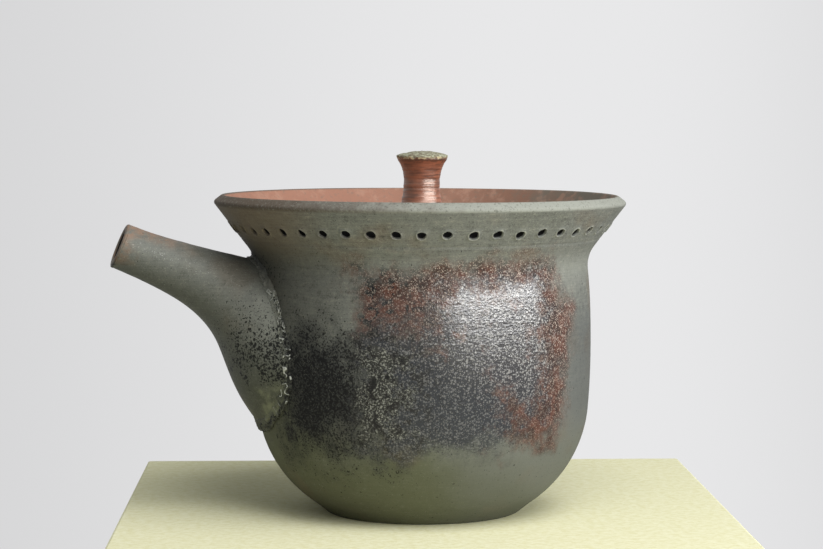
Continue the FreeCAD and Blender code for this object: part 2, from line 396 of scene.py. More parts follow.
def hand_move(point):
    """Where the potter's hand left a point of a true round pot."""
    point = shake_hole(point)
    radius = math.hypot(point.x, point.y)
    if radius < 0.01:
        return point
    around = math.atan2(point.y, point.x)
    outward = Vector((point.x / radius, point.y / radius, 0))
    slow = noise.noise(Vector((outward.x * 1.1, outward.y * 1.1, point.z / 45)))
    ring = math.sin(2 * math.pi * point.z / RING_PITCH + around)
    strength = 0.5 + noise.noise(Vector((outward.x * 2, outward.y * 2, point.z / 9)))
    near_rim = smooth_step(*RIM_ZONE, point.z)
    above_foot = smooth_step(*FOOT_ZONE, point.z)
    rings = RING_DEPTH * (1 - near_rim) * (OUTER_RINGS if depth(point) < WALL / 2 else 1)
    free = WOBBLE * (1 - 0.6 * near_rim) * slow + rings * ring * strength
    move = free * above_foot - RIM_DRAW * near_rim
    line = (spot(radius, point.z) - lip_edge).dot(flare_up) + LINE_SETBACK
    if abs(depth(point)) < 1:
        move -= LINE_DEPTH * max(0, 1 - abs(line) / LINE_WIDTH * 2)
    aside = FOOT_ASIDE * (1 - smooth_step(25, 60, point.z)) - RIM_ASIDE * smooth_step(60, 90, point.z)
    dip = Vector((aside, 0, (RIM_DIP * (slow - 0.6) - RIM_TILT * point.x) * near_rim))
    if radius < FLOOR_RADIUS and FOOT_RECESS + 1 < point.z < FLOOR_TOP + 1:
        dip.z += FLOOR_RINGS * math.sin(radius * 1.5 + around) * smooth_step(3, 8, radius)
    return point + outward * move + dip


inside = pot.verts.layers.float.new("inside")
for vert in pot.verts:
    vert[inside] = min(max(depth(vert.co) / WALL, 0), 1)
    vert.co = hand_move(vert.co)
print("widest point:", round(max(math.hypot(v.co.x, v.co.y) for v in pot.verts), 2), "mm from the axis")

# %% [markdown]
# ## Finishing a piece
# Every piece is finished the same way: scaled to metres, shaded smooth and tied to the body it moves with,
# and the solids that it stands for are hidden.

# %% Turn a shape into a piece
MM = 0.001


def finish_piece(bm, name, body, nodes):
    bmesh.ops.recalc_face_normals(bm, faces=bm.faces)
    bmesh.ops.scale(bm, vec=(MM, MM, MM), verts=bm.verts)
    mesh = bpy.data.meshes.new(name)
    bm.to_mesh(mesh)
    bm.free()
    mesh.shade_smooth()
    piece = bpy.data.objects.new(name, mesh)
    bpy.context.scene.collection.objects.link(piece)
    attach(piece, body)
    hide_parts(*nodes)
    triangles = sum(len(face.vertices) - 2 for face in mesh.polygons)
    print(name, "has", triangles, "triangles")
    return piece


pot_nodes = ("pot_body", "flared_collar", "lid_seat_ring")
thrown_pot = finish_piece(pot, "thrown_pot", "pot", pot_nodes)

# %% [markdown]
# ## The spout
# The spout is a thrown cone, bent while soft, so no two of its sections are alike. Two curved rails in the
# plane of symmetry fix its top and its underside, and a circle between them is carried from one end to the
# other. A sleeve of extruded rings does this: every point keeps its own angle round the ring, and each line
# of points stops where it meets the wall, so the root fits the round pot.

# %% Rails of the spout
SPOUT_WALL = 2.4
SPOUT_MOUTH = Vector((-87.9, 0, 78.5))
MOUTH_RADIUS = 6.75
MOUTH_RISE = math.radians(22.6)
ROOT_X = 15.4 - BELLY
LOWER_LAG = 1.8
SHARE_STEP = 0.02
HALVINGS = 18

spout_along = Vector((-math.cos(MOUTH_RISE), 0, math.sin(MOUTH_RISE)))
spout_across = Vector((math.sin(MOUTH_RISE), 0, math.cos(MOUTH_RISE)))


def rail(start, mouth_pull, root_height, root_pull, root_angle):
    """The four handles of a rail, from the mouth to its end inside the pot."""
    end = Vector((ROOT_X, 0, root_height))
    slope = math.radians(root_angle)
    root_handle = end + Vector((-math.cos(slope), 0, math.sin(slope))) * root_pull
    return start, start - spout_along * mouth_pull, root_handle, end


to_edge = spout_across * MOUTH_RADIUS
upper_rail = rail(SPOUT_MOUTH + to_edge, mouth_pull=11.7, root_height=71.1, root_pull=23.7, root_angle=10.7)
lower_rail = rail(SPOUT_MOUTH - to_edge, mouth_pull=52.3, root_height=12.0, root_pull=51.0, root_angle=40.7)


def on_rail(handles, share):
    left = 1 - share
    weights = (left ** 3, 3 * left ** 2 * share, 3 * left * share ** 2, share ** 3)
    return sum((handle * weight for handle, weight in zip(handles, weights)), Vector())


def spout_ring(share):
    """Centre, radius and upward direction of the spout's section."""
    top = on_rail(upper_rail, share)
    bottom = on_rail(lower_rail, share ** LOWER_LAG)
    return (top + bottom) / 2, (top - bottom).length / 2, (top - bottom).normalized()


def spout_point(share, angle, grow):
    """A point of the spout's surface, or of one grown all round."""
    centre, radius, up = spout_ring(share)
    out = up * math.cos(angle) + Vector((0, math.sin(angle), 0))
    return centre + out * (radius + grow)


@cache
def root_share(angle, grow, sunk):
    """How far along the spout a line meets the wall, at a depth below its surface."""
    low = 0.0
    while depth(spout_point(low, angle, grow)) < sunk:
        low += SHARE_STEP
    high = low
    low -= SHARE_STEP
    for _ in range(HALVINGS):
        middle = (low + high) / 2
        if depth(spout_point(middle, angle, grow)) < sunk:
            low = middle
        else:
            high = middle
    return high


print("spout's top meets the wall at", [round(v, 1) for v in spout_point(root_share(0, 0, 0), 0, 0)])


# %% A sleeve of extruded rings
def sleeve(bm, sides, rows, place):
    """Extrudes a circle row by row. Each point goes where place puts its row and its angle."""
    angle_of = bm.verts.layers.float.new("angle")
    row_of = bm.verts.layers.int.new("row")
    ring = bmesh.ops.create_circle(bm, segments=sides, radius=1)["verts"]
    for number, vert in enumerate(ring):
        vert[angle_of] = 2 * math.pi * number / sides
    edges = ring_edges(ring)
    first_edges = edges
    for vert in ring:
        vert.co = place(0, vert[angle_of])
    for row in range(1, rows):
        geom = bmesh.ops.extrude_edge_only(bm, edges=edges)["geom"]
        edges = [item for item in geom if isinstance(item, bmesh.types.BMEdge)]
        for vert in {vert for edge in edges for vert in edge.verts}:
            vert[row_of] = row
            vert.co = place(row, vert[angle_of])
    return first_edges, edges


# %% Make the spout
SPOUT_SIDES = 96
INNER_ROWS = 40
OUTER_ROWS = 70
ROOT_SINK = 1.2
MOUTH_SOFT = 0.75
MOUTH_DRAW = 0.1
SPOUT_WOBBLE = 0.14
SPOUT_RINGS = 0.05
SPOUT_DRAW = 0.13
LIP_SHARE = 0.012
LIP_STEPS = 4

bends = [math.pi / 2 * step / LIP_STEPS for step in range(LIP_STEPS + 1)]
rounding = [(MOUTH_SOFT * (1 - math.sin(bend)), MOUTH_SOFT * (1 - math.cos(bend))) for bend in bends]
lip_rows = [(-SPOUT_WALL + second, first) for first, second in rounding]
lip_rows += [(-first, second) for first, second in rounding]


def hand_bent(point):
    """Presses the spout's clay in a little, as the fingers that bent it did."""
    slow = noise.noise(point / 14)
    ring = noise.noise(Vector((point.x / 2.2, 3.1, point.z / 6)))
    return SPOUT_WOBBLE * slow + SPOUT_RINGS * ring - SPOUT_DRAW


def place_spout(row, angle):
    if row < INNER_ROWS:
        root = root_share(angle, -SPOUT_WALL, ROOT_SINK)
        share = root * (1 - row / INNER_ROWS) + LIP_SHARE * row / INNER_ROWS
        return spout_point(share, angle, -SPOUT_WALL)
    row -= INNER_ROWS
    if row < len(lip_rows):
        grow, back = lip_rows[row]
        return spout_point(0, angle, grow - MOUTH_DRAW) - spout_along * back
    row -= len(lip_rows)
    share = LIP_SHARE + (root_share(angle, 0, ROOT_SINK) - LIP_SHARE) * ((row + 1) / OUTER_ROWS)
    point = spout_point(share, angle, 0)
    return spout_point(share, angle, hand_bent(point))


spout_shape = bmesh.new()
spout_rows = INNER_ROWS + len(lip_rows) + OUTER_ROWS
inner_root, outer_root = sleeve(spout_shape, SPOUT_SIDES, spout_rows, place_spout)
bmesh.ops.bridge_loops(spout_shape, edges=inner_root + outer_root)
inside = spout_shape.verts.layers.float.new("inside")
row_of = spout_shape.verts.layers.int["row"]
for vert in spout_shape.verts:
    vert[inside] = 1.0 if vert[row_of] < INNER_ROWS + 2 else 0.0
spout = finish_piece(spout_shape, "bent_spout", "pot", ("spout",))

# %% [markdown]
# ## The luted seam
# Where the spout meets the wall, the potter pressed in a roll of slip-wet clay and worked it down with a
# small tool, and did not smooth it further: the strip is lumpy, its edges are ragged, and thin curls of clay
# catch the light. It is a second sleeve, whose rows run from the spout's side over a hollow fillet to the
# wall's side.

# %% Make the seam
SEAM_SIDES = 640
SEAM_ROWS = 28
SEAM_TUCK = 0.5
CURL_SIZE = 1.8
CURL_WIDTH = 0.15
CURL_HEIGHT = 0.3
ON_SPOUT = 1.9
ON_WALL = 1.7
FILLET = 0.25
SEAM_SWELL = 0.12
SEAM_LUMPS = 0.22
SEAM_CRUMBS = 0.12


def seam_noise(point, size, seed):
    return noise.noise(point / size + Vector((seed, seed * 1.7, 0)))


def curl(point):
    """Height of the curls that the tool threw up along wandering lines, from 0 to 1. Many are missing."""
    line = abs(seam_noise(point, CURL_SIZE, 9.1))
    kept = smooth_step(-0.22, 0.02, seam_noise(point, 2.6, 5.2))
    return kept * max(0, 1 - line / CURL_WIDTH)


curls = {}


@cache
def seam_frame(angle):
    """Corner between spout and wall, and the directions that lead away from it."""
    share = root_share(angle, 0, 0)
    corner = spout_point(share, angle, 0)
    wall_out = Vector((corner.x, corner.y, 0)).normalized()
    spout_out = (corner - spout_ring(share)[0]).normalized()
    to_mouth = (spout_point(share - SHARE_STEP, angle, 0) - corner).normalized()
    along_wall = (spout_out - wall_out * spout_out.dot(wall_out)).normalized()
    return corner, wall_out, spout_out, to_mouth, along_wall


def place_seam(row, angle):
    corner, wall_out, spout_out, to_mouth, along_wall = seam_frame(angle)
    on_spout = ON_SPOUT + 0.9 * seam_noise(corner, 5, 1.3) + 0.5 * seam_noise(corner, 1.6, 4.4)
    on_wall = ON_WALL + 0.8 * seam_noise(corner, 4, 7.9) + 0.5 * seam_noise(corner, 1.3, 2.6)
    start = corner + to_mouth * on_spout
    end = corner + along_wall * on_wall
    end += Vector((end.x, end.y, 0)).normalized() * depth(end)
    if row == 0:
        return start - spout_out * SEAM_TUCK
    if row == SEAM_ROWS - 1:
        return end - wall_out * SEAM_TUCK
    across = (row - 1) / (SEAM_ROWS - 3)
    middle = corner + (wall_out + spout_out) * FILLET
    curve = start * (1 - across) ** 2 + middle * 2 * across * (1 - across) + end * across ** 2
    out = (spout_out * (1 - across) + wall_out * across).normalized()
    lump = SEAM_SWELL + SEAM_LUMPS * seam_noise(curve, 2.4, 3.3) + SEAM_CRUMBS * seam_noise(curve, 0.9, 6.1)
    curls[row, angle] = curl(curve)
    return curve + out * (lump + CURL_HEIGHT * curls[row, angle])


seam_shape = bmesh.new()
sleeve(seam_shape, SEAM_SIDES, SEAM_ROWS, place_seam)
angle_of = seam_shape.verts.layers.float["angle"]
row_of = seam_shape.verts.layers.int["row"]
ridge = seam_shape.verts.layers.float.new("ridge")
across_of = seam_shape.verts.layers.float.new("across")
for vert in seam_shape.verts:
    vert[across_of] = min(max((vert[row_of] - 1) / (SEAM_ROWS - 3), 0), 1)
    vert[ridge] = curls.get((vert[row_of], vert[angle_of]), 0)
bmesh.ops.bridge_loops(seam_shape, edges=[edge for edge in seam_shape.edges if edge.is_boundary])
seam = finish_piece(seam_shape, "luted_seam", "pot", ("spout_seam",))

# %% [markdown]
# ## The lid
# The lid is a shallow thrown dome with a flange under it, and sits sunk in the collar. It is one profile
# spun all the way round, and the rings that fingers left are part of the shape, because the light rakes over
# them when the lid is lifted. The vent is opened with the tool that cut the way to the spout.

# %% Make the lid
LID_EDGE_RADIUS = inner_neck.x - 0.6
LID_EDGE = 3.4
LID_THICKNESS = 3.6
LID_CROWN = 84.0
FLANGE_RADIUS = seat_bore - 0.8
FLANGE_THICKNESS = 2.8
FLANGE_DEPTH = 6.0
VENT_OFFSET = 19.0
VENT_RADIUS = 1.5
LID_COLUMNS = 240
LID_SOFT = 0.5
LID_RING_PITCH = 3.4
LID_RINGS = 0.07
LID_DRAW = 0.06


def dome_centre(crown, chord, rise):
    """Centre and radius of a dome that falls by rise over a chord."""
    radius = (chord ** 2 + rise ** 2) / (2 * rise)
    return spot(0, crown - radius), radius


def draw_dome(bm, end, crown, chord, rise, to_radius, rows):
    """Draws a domed line to another distance from the axis."""
    centre, radius = dome_centre(crown, chord, rise)
    start_angle = math.asin(end.co.x / radius)
    end_angle = math.asin(to_radius / radius)
    return draw_arc(bm, end, centre, start_angle - end_angle, rows)


def lathe(bm, columns):
    """Spins a profile all the way round."""
    spin_round(bm, 2 * math.pi, columns, use_merge=True)
    bmesh.ops.remove_doubles(bm, verts=bm.verts, dist=MERGE)


lid_rise = LID_CROWN - SEAT_HEIGHT - LID_EDGE
flange_inner = FLANGE_RADIUS - FLANGE_THICKNESS
under_crown = LID_CROWN - LID_THICKNESS
lid = bmesh.new()
end = lid.verts.new(spot(0, LID_CROWN))
end = draw_dome(lid, end, LID_CROWN, LID_EDGE_RADIUS, lid_rise, LID_EDGE_RADIUS, 64)
lid_corners = [end]
flange_low = SEAT_HEIGHT - FLANGE_DEPTH
for target, rows in ((spot(LID_EDGE_RADIUS, SEAT_HEIGHT), 4), (spot(FLANGE_RADIUS, SEAT_HEIGHT), 4),
                     (spot(FLANGE_RADIUS, flange_low), 6), (spot(flange_inner, flange_low), 3),
                     (spot(flange_inner, SEAT_HEIGHT), 6)):
    end = draw_to(lid, end, target, rows)
    lid_corners.append(end)
draw_dome(lid, end, under_crown, flange_inner, under_crown - SEAT_HEIGHT, 0, 34)
soften(lid, lid_corners[:-1], LID_SOFT, 2)
lathe(lid, LID_COLUMNS)
open_round(lid, Vector((VENT_OFFSET, 0, under_crown)), Vector((0, 0, 1)), VENT_RADIUS, reach=12)
for vert in lid.verts:
    radius = math.hypot(vert.co.x, vert.co.y)
    around = math.atan2(vert.co.y, vert.co.x)
    on_top = smooth_step(9, 12, radius) * (1 - smooth_step(40, 43, radius))
    ring = math.sin(radius * 2 * math.pi / LID_RING_PITCH + around)
    patchy = 0.6 + noise.noise(vert.co / 16)
    vert.co.z += (LID_RINGS * ring * patchy - LID_DRAW) * on_top
lid_piece = finish_piece(lid, "thrown_lid", "lid", ("lid_plate", "lid_flange"))

# %% [markdown]
# ## The knob
# The knob is a little spool, turned on the lid with a rough tool that left fine ridges all the way up, and
# the kiln dropped a crust of ash on its crown that curls over the edge. The section is spun, and the ridges
# and the crust are then pressed into the rows by noise, so that they show in the outline too.

# %% Make the knob
KNOB_FOOT = 8.5
KNOB_WAIST = 5.25
KNOB_WAIST_HEIGHT = LID_CROWN + 12.1
KNOB_CAP = 7.55
KNOB_UNDER = 7.25
KNOB_CAP_HEIGHT = LID_CROWN + 18.6
KNOB_EDGE = 1.2
KNOB_CROWN = 1.3
KNOB_COLUMNS = 144
KNOB_LEAN = 0.018
KNOB_SINK = 0.25
KNOB_SOFT = 0.3
FINE_RIDGES = 0.1
BROAD_RIDGES = 0.12
RIDGE_DRAW = 0.03

lid_centre, lid_radius = dome_centre(LID_CROWN, LID_EDGE_RADIUS, lid_rise)
knob_foot_height = lid_centre.z + math.sqrt(lid_radius ** 2 - KNOB_FOOT ** 2) - KNOB_SINK


def hollow(radius, height):
    """Centre of the hollow curve from the waist to a radius and a height, and the angle of its end."""
    rise = height - KNOB_WAIST_HEIGHT
    spread = radius - KNOB_WAIST
    curve = (rise ** 2 + spread ** 2) / (2 * spread)
    return spot(KNOB_WAIST + curve, KNOB_WAIST_HEIGHT), math.asin(rise / curve)


knob = bmesh.new()
end = knob.verts.new(spot(KNOB_FOOT, knob_foot_height))
low_centre, low_angle = hollow(KNOB_FOOT, knob_foot_height)
high_centre, high_angle = hollow(KNOB_UNDER, KNOB_CAP_HEIGHT)
end = draw_arc(knob, end, low_centre, low_angle, 52)
end = draw_arc(knob, end, high_centre, -high_angle, 28)
edge_top = KNOB_CAP_HEIGHT + KNOB_EDGE
cap_corner = draw_to(knob, end, spot(KNOB_CAP, edge_top), 4)
draw_dome(knob, cap_corner, edge_top + KNOB_CROWN, KNOB_CAP, KNOB_CROWN, 0, 26)
soften(knob, [cap_corner], KNOB_SOFT, 2)
lathe(knob, KNOB_COLUMNS)


def turn_ridges(point):
    """Ridges of the turning tool, in a shallow spiral, the lumps of the ash crust, and a slight lean."""
    radius = math.hypot(point.x, point.y)
    if radius < 0.01:
        return point
    outward = Vector((point.x / radius, point.y / radius, 0))
    around = math.atan2(point.y, point.x)
    height = point.z + 0.35 * math.sin(around) + 0.2 * noise.noise(outward * 1.5)
    fine = noise.noise(Vector((0.4, outward.x * 0.3, height * 2.1)))
    broad = noise.noise(Vector((7.2, outward.y * 0.3, height * 0.75)))
    crust = smooth_step(KNOB_CAP_HEIGHT, KNOB_CAP_HEIGHT + 0.8, point.z)
    ridge = (FINE_RIDGES * fine + BROAD_RIDGES * broad - RIDGE_DRAW) * (1 - crust)
    lump = noise.noise(point * 0.5) * 0.24 + noise.noise(point * 1.4) * 0.14
    over_edge = crust * smooth_step(4, 7, radius)
    sink = crust * min(0, 0.6 * lump - 0.1)
    lean = KNOB_LEAN * (point.z - LID_CROWN)
    return point + outward * (ridge + over_edge * 0.6 * lump) + Vector((lean, 0, sink))


for vert in knob.verts:
    vert.co = turn_ridges(vert.co)
bmesh.ops.holes_fill(knob, edges=[edge for edge in knob.edges if edge.is_boundary])
knob_piece = finish_piece(knob, "turned_knob", "lid", ("lid_knob",))

# %% [markdown]
# ## Writing a finish
# Fired clay isn't painted, so no two of its marks have an edge that could be drawn. Each finish below is a
# chain of nodes that asks where a point is: how high, how far round from the front, how deep in the wall.
# Chains of nodes are long to write, so two small classes help. One is a number that differs from point to
# point, and can be added and multiplied like any number. The other writes the nodes behind it.


# %% A number that differs from point to point
class Value:
    """An output of a node. Each sum with it writes one more node."""

    def __init__(self, chain, socket):
        self.chain = chain
        self.socket = socket

    def __add__(self, other):
        return self.chain.math("ADD", self, other)

    def __sub__(self, other):
        return self.chain.math("SUBTRACT", self, other)

    def __rsub__(self, other):
        return self.chain.math("SUBTRACT", other, self)

    def __mul__(self, other):
        return self.chain.math("MULTIPLY", self, other)

    def fade(self, low, high):
        """Runs smoothly from 0 at low to 1 at high. High may be the smaller."""
        inputs = {0: self, 1: low, 2: high}
        return self.chain.node("MapRange", inputs, interpolation_type="SMOOTHSTEP")[0]

    def band(self, low, high, soft):
        """1 between low and high, and 0 outside, with soft edges."""
        return self.fade(low - soft, low + soft) * self.fade(high + soft, high - soft)


def least(value, *others):
    for other in others:
        value = value.chain.math("MINIMUM", value, other)
    return value


def most(value, *others):
    for other in others:
        value = value.chain.math("MAXIMUM", value, other)
    return value


# %% A class that writes nodes
class NodeChain:
    """Writes nodes into a tree, and joins each to the values it is given."""

    def __init__(self, tree):
        self.nodes = tree.nodes
        self.links = tree.links

    def plug(self, socket, value):
        """Links a value to an input, or sets the input to a number, a colour or a vector."""
        if isinstance(value, Value):
            self.links.new(value.socket, socket)
        else:
            socket.default_value = value

    def node(self, kind, inputs, **settings):
        """A new node's outputs, by name and by number. Its inputs are given the same way."""
        node = self.nodes.new("ShaderNode" + kind)
        for setting, value in settings.items():
            setattr(node, setting, value)
        for name, value in inputs.items():
            self.plug(node.inputs[name], value)
        outputs = {}
        for number, socket in enumerate(node.outputs):
            outputs[number] = Value(self, socket)
            outputs[socket.name] = outputs[number]
        return outputs

    def math(self, operation, *values):
        return self.node("Math", dict(enumerate(values)), operation=operation)[0]

    def over(self, below, above, *masks):
        """Lays one colour over another, as strongly as all the masks multiplied."""
        share = masks[0]
        for mask in masks[1:]:
            share = share * mask
        return self.node("Mix", {0: share, 6: below, 7: above}, data_type="RGBA")[2]


# %% A class for finishes
class Finish(NodeChain):
    """A material, written on the piece's own coordinates. Its colour and relief are built up in layers."""

    def __init__(self, name):
        self.material = bpy.data.materials.new(name)
        self.material.use_nodes = True
        super().__init__(self.material.node_tree)
        self.shader = self.nodes["Principled BSDF"].inputs
        where = self.node("TexCoord", {})
        self.point = where["Object"]
        self.normal = where["Normal"]
        self.colour = None
        self.relief = None

    def paint(self, colour, *masks):
        """Lays a colour over the finish, by any masks. A number after them is its strength."""
        self.colour = self.over(self.colour, colour, *masks)

    def split(self, vector):
        return self.node("SeparateXYZ", {0: vector})

    def along(self, axis):
        """Millimetres from the pot's axis along X or Y, or above its foot along Z."""
        return self.split(self.point)[axis] * (1 / MM)

    def attribute(self, name):
        return self.node("Attribute", {}, attribute_name=name)["Fac"]

    def moved(self, stretch=(1, 1, 1), turn=(0, 0, 0)):
        """The piece's coordinates, stretched along each axis and turned."""
        return self.node("Mapping", {"Vector": self.point, "Scale": stretch, "Rotation": turn})[0]

    def cloud(self, size, detail=2.0, rough=0.5, where=None):
        """Cloudy noise with clouds about one size across, in millimetres."""
        return self.node("TexNoise", {"Vector": where or self.point, "Scale": 1 / (size * MM),
                                      "Detail": detail, "Roughness": rough})

    def noise(self, *cloud, **place):
        """One cloudy noise, from 0 to 1."""
        return self.cloud(*cloud, **place)[0]

    def clouds(self, size, detail):
        """Two unlike cloudy noises around zero, from -0.5 to 0.5."""
        channels = self.node("SeparateColor", {0: self.cloud(size, detail)["Color"]})
        return channels[0] - 0.5, channels[1] - 0.5

    def wander(self, within, cloud, reach, soft):
        """A mask from a distance within a border, in millimetres. The border wanders with a cloudy noise."""
        return ((cloud - 0.5) * reach + within).fade(-soft, soft)

    def specks(self, size, crowd):
        """Ragged specks of a size in millimetres. They crowd together as crowd runs from 0 to 1."""
        return (self.noise(size, 3, 0.6) + crowd * 0.36).fade(0.66, 0.74)

    def scratches(self, size, width):
        """Thin curled lines, where a cloudy noise crosses its middle, broken up by another."""
        line = self.math("ABSOLUTE", self.noise(size, 1) - 0.5).fade(width, 0.0)
        gaps = self.noise(size * 0.7, 1, where=self.moved(turn=(1, 2, 3)))
        return line * gaps.fade(0.54, 0.62)

    def grains(self, size, fill):
        """Separate ragged grains, in cells of a size in millimetres. The largest fill a share of a cell."""
        shake = {0: self.cloud(size / 2)["Color"], 1: [size * MM / 2] * 3, 2: self.point}
        shaken = self.node("VectorMath", shake, operation="MULTIPLY_ADD")[0]
        cells = self.node("TexVoronoi", {"Vector": shaken, "Scale": 1 / (size * MM)})
        own_size = self.split(cells["Color"])["X"] * fill
        return (own_size - cells["Distance"]).fade(0.0, 0.15)

    def coat(self, weight, roughness, refraction):
        """Adds a thin clear gloss."""
        self.plug(self.shader["Coat Weight"], weight)
        self.plug(self.shader["Coat Roughness"], roughness)
        self.plug(self.shader["Coat IOR"], refraction)

    def finish(self, roughness, sheen=0.3):
        """Plugs what was built up into the shader. The relief is in millimetres."""
        bumped = self.node("Bump", {"Strength": 1.0, "Distance": MM, "Height": self.relief})[0]
        for socket, value in (("Base Color", self.colour), ("Roughness", roughness),
                              ("Specular IOR Level", sheen), ("Normal", bumped), ("Coat Normal", bumped)):
            self.plug(self.shader[socket], value)
        print("finish", self.material.name, "has", len(self.nodes), "nodes")
        return self.material


def tone(red, green, blue):
    """A colour as a screen shows it, from 0 to 255, in the linear numbers that sockets take."""
    linear = Color((red / 255, green / 255, blue / 255)).from_srgb_to_scene_linear()
    return (linear.r, linear.g, linear.b, 1.0)


# %% [markdown]
# ## Bare clay
# Under every mark lies the same clay, reduced by the flame to a grey green. It drifts from olive to neutral
# grey over a few centimetres, is mottled at a few millimetres, and carries faint wheel lines and grain.
# Pot, spout and seam share it, so it is a function that lays it down in any finish.

# %% Nodes of the bare clay
OLIVE = tone(91, 94, 75)
GREY_GREEN = tone(125, 127, 122)
WARM_CLAY = tone(122, 104, 84)
PALE_GRAIN = tone(164, 163, 150)
DARK_GRAIN = tone(58, 56, 50)


def bare_clay(clay, cool, coarse):
    """Clay with no ash on it. Cool runs from olive to grey, coarse from smooth to grainy."""
    drift = clay.noise(26, 3)
    warm = clay.noise(17, 3, where=clay.moved(turn=(0.6, 1.1, 0.3)))
    mottle = clay.noise(1.8, 5, 0.7)
    lines = clay.noise(0.45, 3, 0.6, where=clay.moved((0.05, 0.05, 1)))
    grain = clay.noise(0.4, 2)
    cool = (drift - 0.5) * 1.6 + cool
    clay.colour = clay.over(OLIVE, GREY_GREEN, cool.fade(0.0, 1.0))
    clay.paint(WARM_CLAY, warm.fade(0.52, 0.72), 0.4)
    light = mottle * 0.4 + lines * 0.3 + grain * 0.3
    share = coarse * 0.42 + 0.1
    clay.paint(PALE_GRAIN, light.fade(0.5, 0.64), share)
    clay.paint(DARK_GRAIN, light.fade(0.5, 0.36), share)
    clay.paint(PALE_GRAIN, clay.scratches(5, 0.012), coarse * 0.5)
    clay.relief = lines * 0.04 + grain * 0.03 + mottle * 0.05


# %% [markdown]
# ## The pot's finish
# The fire's side of the pot is the front, turned a little to the right. There a patch of ash melted to a
# thin dark glaze with dense pale speckles, edged with rust. To its left it thins to a mossy crust, and a
# blue-black soot lies towards the spout. Each mark is found by two numbers, the height and the angle round
# from the front, and its border wanders with noise. Speckles and soot are grains of their own.

# %% Angles round the pot
FRONT = math.radians(-11.4)


def front_turned(clay):
    """The piece's coordinates, turned so that the front of the pot faces along -Y."""
    turned = clay.node("VectorRotate", {"Vector": clay.point, "Angle": -FRONT}, rotation_type="Z_AXIS")
    return clay.split(turned[0])


def around_front(clay):
    """Degrees round the pot's axis from the front, more to the right."""
    turned = front_turned(clay)
    return clay.math("ARCTAN2", turned["X"], turned["Y"] * -1.0) * (180 / math.pi)


# %% Marks of the fire, as masks
ARC = 0.864


def fire_marks(clay, height, around):
    """Masks of the ash patch, its rust, moss and dull edge, and of the soot, measured along the wall."""
    arc = around * ARC
    tilted = arc * -0.052 + height
    broad = clay.noise(9, 7, 0.68)
    ragged = clay.noise(5, 7, 0.75, where=clay.moved(turn=(0.9, 0.4, 1.7)))
    right_end = least(height * 0.16 + 41.0, height * -0.8 + 100.0)
    patch = least(74.0 - tilted, height - 23.5, arc + 18.0, right_end - arc)
    rust_left = least(tilted - 57.0, 8.0 - arc)
    rust_low = least(arc - 27.0, 37.0 - height)
    rust = most(tilted - 67.0, arc - 37.0, rust_left, rust_low)
    dull = most(tilted - 66.6, arc - 36.6)
    moss = least(arc + 20.0, -5.0 - arc, height - 26.0, 53.0 - height)
    soot = least(arc + 46.0, -12.0 - arc, height - 23.0, 55.0 - height)
    crowd = clay.wander(soot, broad, 34.0, 14.0) * 0.6
    return {"patch": clay.wander(patch, broad, 26.0, 5.0), "rust": clay.wander(rust, ragged, 60.0, 7.0),
            "moss": clay.wander(moss, ragged, 60.0, 4.0), "dull": clay.wander(dull, ragged, 12.0, 2.0),
            "soot": clay.wander(soot, broad, 34.0, 9.0),
            "soot grains": most(clay.specks(1.0, crowd), clay.specks(0.5, crowd))}


# %% Melted ash
RUST = tone(93, 57, 46)
RUST_DARK = tone(63, 44, 39)
GLAZE = tone(54, 51, 54)
GLAZE_BLUE = tone(43, 46, 54)
MOSS = tone(38, 38, 37)
MOSS_PALE = tone(156, 157, 149)
SOOT = tone(10, 10, 15)
PIT_AND_HOLE_SHADE = tone(24, 23, 25)
PALE_SPECKLE_AND_GLINT = tone(215, 213, 211)
RUST_SPECKLE = tone(212, 194, 180)


def ash_colour(clay, marks, height, around):
    """The melted ash: dark glaze, rust and moss, under pale and dark speckles."""
    ash = clay.over(GLAZE, GLAZE_BLUE, (around * 0.4 + height).fade(66, 40))
    rust = clay.over(RUST_DARK, RUST, clay.noise(4, 3).fade(0.38, 0.62))
    ash = clay.over(ash, rust, marks["rust"])
    crust = clay.over(MOSS, MOSS_PALE, clay.noise(0.55, 4, 0.75).fade(0.5, 0.63))
    ash = clay.over(ash, crust, marks["moss"])
    pits = most(clay.noise(2.6, 2).fade(0.45, 0.38), clay.noise(1.1, 3).fade(0.4, 0.32))
    ash = clay.over(ash, PIT_AND_HOLE_SHADE, pits, around.fade(14, -8))
    coarse = most(clay.grains(0.62, 0.64), clay.grains(0.42, 0.62))
    fine = most(clay.grains(0.5, 0.58), clay.grains(0.34, 0.54))
    grains = coarse * (1.0 - marks["rust"]) + fine * marks["rust"]
    thick = (around * 0.5 + height).fade(37, 90)
    bare = 1.0 - marks["moss"] * 0.7
    pale = clay.over(PALE_SPECKLE_AND_GLINT, RUST_SPECKLE, marks["rust"])
    ash = clay.over(ash, pale, grains, thick * 0.58 + 0.15, bare)
    flecks = clay.noise(0.5, 3, 0.7).fade(0.48, 0.36)
    ash = clay.over(ash, PIT_AND_HOLE_SHADE, flecks, bare, marks["rust"] * -0.2 + 0.75)
    return clay.over(ash, SOOT, clay.grains(3.4, marks["moss"] * 0.4), 0.85)


# %% Tones and painted shade of the pot's clay, and the fire on it
SOOT_AND_SHADE_GREY = tone(39, 40, 42)
SOOT_GRAIN = tone(112, 113, 106)
PAINTED_SHADE_AND_WEAR = tone(58, 56, 47)
PALE_DUST_AND_PAINTED_LIGHT = tone(166, 168, 158)
LOW_PAINTED_SHADE = tone(86, 89, 82)
SLATE = tone(78, 81, 82)


